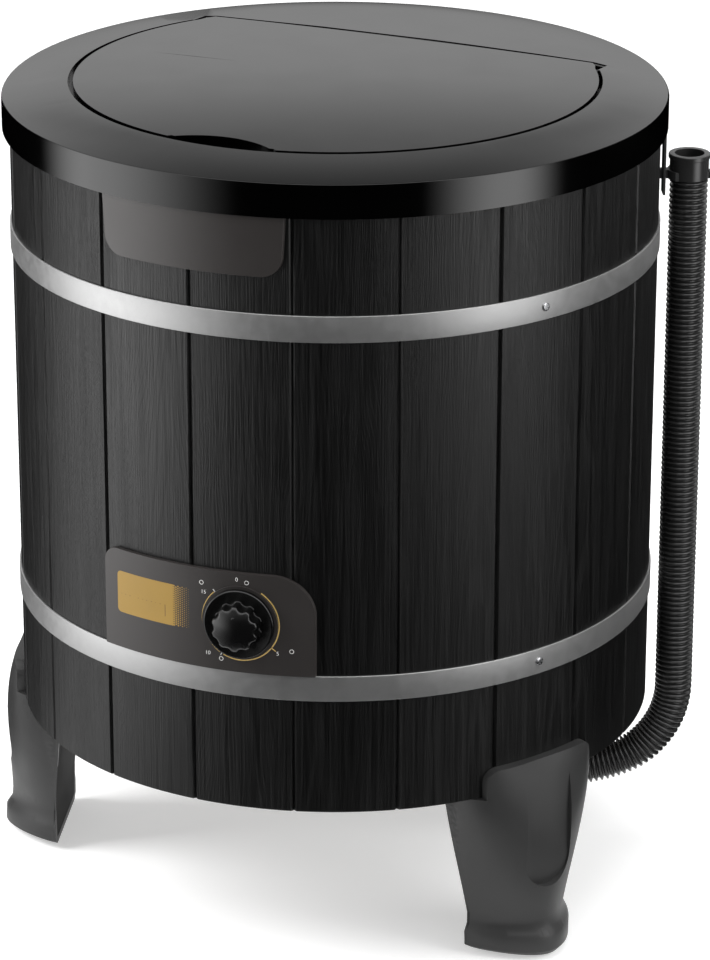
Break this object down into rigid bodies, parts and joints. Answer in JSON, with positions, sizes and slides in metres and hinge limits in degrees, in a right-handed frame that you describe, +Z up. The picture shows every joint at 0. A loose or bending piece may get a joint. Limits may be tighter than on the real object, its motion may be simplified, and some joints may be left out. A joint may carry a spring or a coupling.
{
  "type": "semi-automatic washing machine",
  "caption": "Black coopered barrel washing machine on moulded legs, with steel hoops, a hinged flush lid, a timer knob, a belt-driven agitator and a side drain hose.",
  "frame": {"origin": "on the floor under the barrel's axis", "axes": "-Y is the front with the control panel, +X the right hand seen from the front, +Z up"},
  "size_m": [0.5934, 0.6191, 0.737],
  "materials": {
    "black_stained_wood": "black stain with open vertical grain",
    "base_plywood": "plain sealed board",
    "galvanised_steel": "galvanised strap",
    "gloss_black_plastic": "moulded, satin to gloss",
    "dark_grey_plastic": "moulded, fine texture",
    "panel_plastic": "printed satin film",
    "knob_plastic": "moulded satin",
    "hose_plastic": "corrugated satin",
    "tub_plastic": "moulded pale grey polypropylene",
    "agitator_plastic": "moulded blue grey",
    "steel": "turned steel",
    "bronze": "sintered bronze",
    "cast_aluminium": "die cast",
    "painted_steel": "black enamel",
    "black_rubber": "moulded rubber"
  },
  "bodies": {
    "machine": {"badge_plate": "panel_plastic", "base_board": "base_plywood", "bearing_housing": "cast_aluminium", "capacitor": "cast_aluminium", "capacitor_clip": "steel", "control_panel": "panel_plastic", "cord_gland": "dark_grey_plastic", "drain_hose": "hose_plastic", "drain_pipe": "dark_grey_plastic", "foot_pads": "black_rubber", "hoop_screws": "steel", "hose_clamp": "steel", "hose_cuff": "hose_plastic", "hose_hook": "dark_grey_plastic", "leg_left": "dark_grey_plastic", "leg_rear": "dark_grey_plastic", "leg_right": "dark_grey_plastic", "leg_screws": "steel", "lid_hinge_rod": "steel", "lower_hoop": "galvanised_steel", "motor_body": "painted_steel", "motor_bolts": "steel", "motor_bracket": "painted_steel", "shaft_bushes": "bronze", "shaft_seal": "black_rubber", "stave_01": "black_stained_wood", "stave_02": "black_stained_wood", "stave_03": "black_stained_wood", "stave_04": "black_stained_wood", "stave_05": "black_stained_wood", "stave_06": "black_stained_wood", "stave_07": "black_stained_wood", "stave_08": "black_stained_wood", "stave_09": "black_stained_wood", "stave_10": "black_stained_wood", "stave_11": "black_stained_wood", "stave_12": "black_stained_wood", "stave_13": "black_stained_wood", "stave_14": "black_stained_wood", "stave_15": "black_stained_wood", "stave_16": "black_stained_wood", "stave_17": "black_stained_wood", "stave_18": "black_stained_wood", "stave_19": "black_stained_wood", "stave_20": "black_stained_wood", "timer_body": "dark_grey_plastic", "top_rim": "gloss_black_plastic", "upper_hoop": "galvanised_steel", "v_belt": "black_rubber", "wash_tub": "tub_plastic"},
    "lid": {"lid": "gloss_black_plastic"},
    "timer_knob": {"timer_knob": "knob_plastic", "timer_shaft": "steel"},
    "agitator": {"agitator": "agitator_plastic", "agitator_cap": "agitator_plastic", "agitator_shaft": "steel", "driven_pulley": "cast_aluminium", "pulley_nut": "steel"},
    "motor_rotor": {"motor_shaft": "steel", "motor_pulley": "cast_aluminium"}
  },
  "joints": [
    {"name": "lid_hinge", "type": "hinge", "parent": "machine", "child": "lid", "pos_m": [0, 0.1305, 0.72693], "axis": [-1, 0, 0], "range_deg": [0, 95]},
    {"name": "knob_turn", "type": "hinge", "parent": "machine", "child": "timer_knob", "pos_m": [0.04537, -0.28643, 0.334], "axis": [-0.1564, 0.9877, 0], "range_deg": [0, 330]},
    {"name": "agitator_spin", "type": "hinge", "parent": "machine", "child": "agitator", "pos_m": [0, 0, 0.4], "axis": [0, 0, 1], "continuous": true},
    {"name": "motor_spin", "type": "hinge", "parent": "machine", "child": "motor_rotor", "pos_m": [0, 0.15, 0.32], "axis": [0, 0, 1], "continuous": true}
  ],
  "couplings": [
    {"joint": "motor_spin", "follows": "agitator_spin", "ratio": 4.5217}
  ]
}
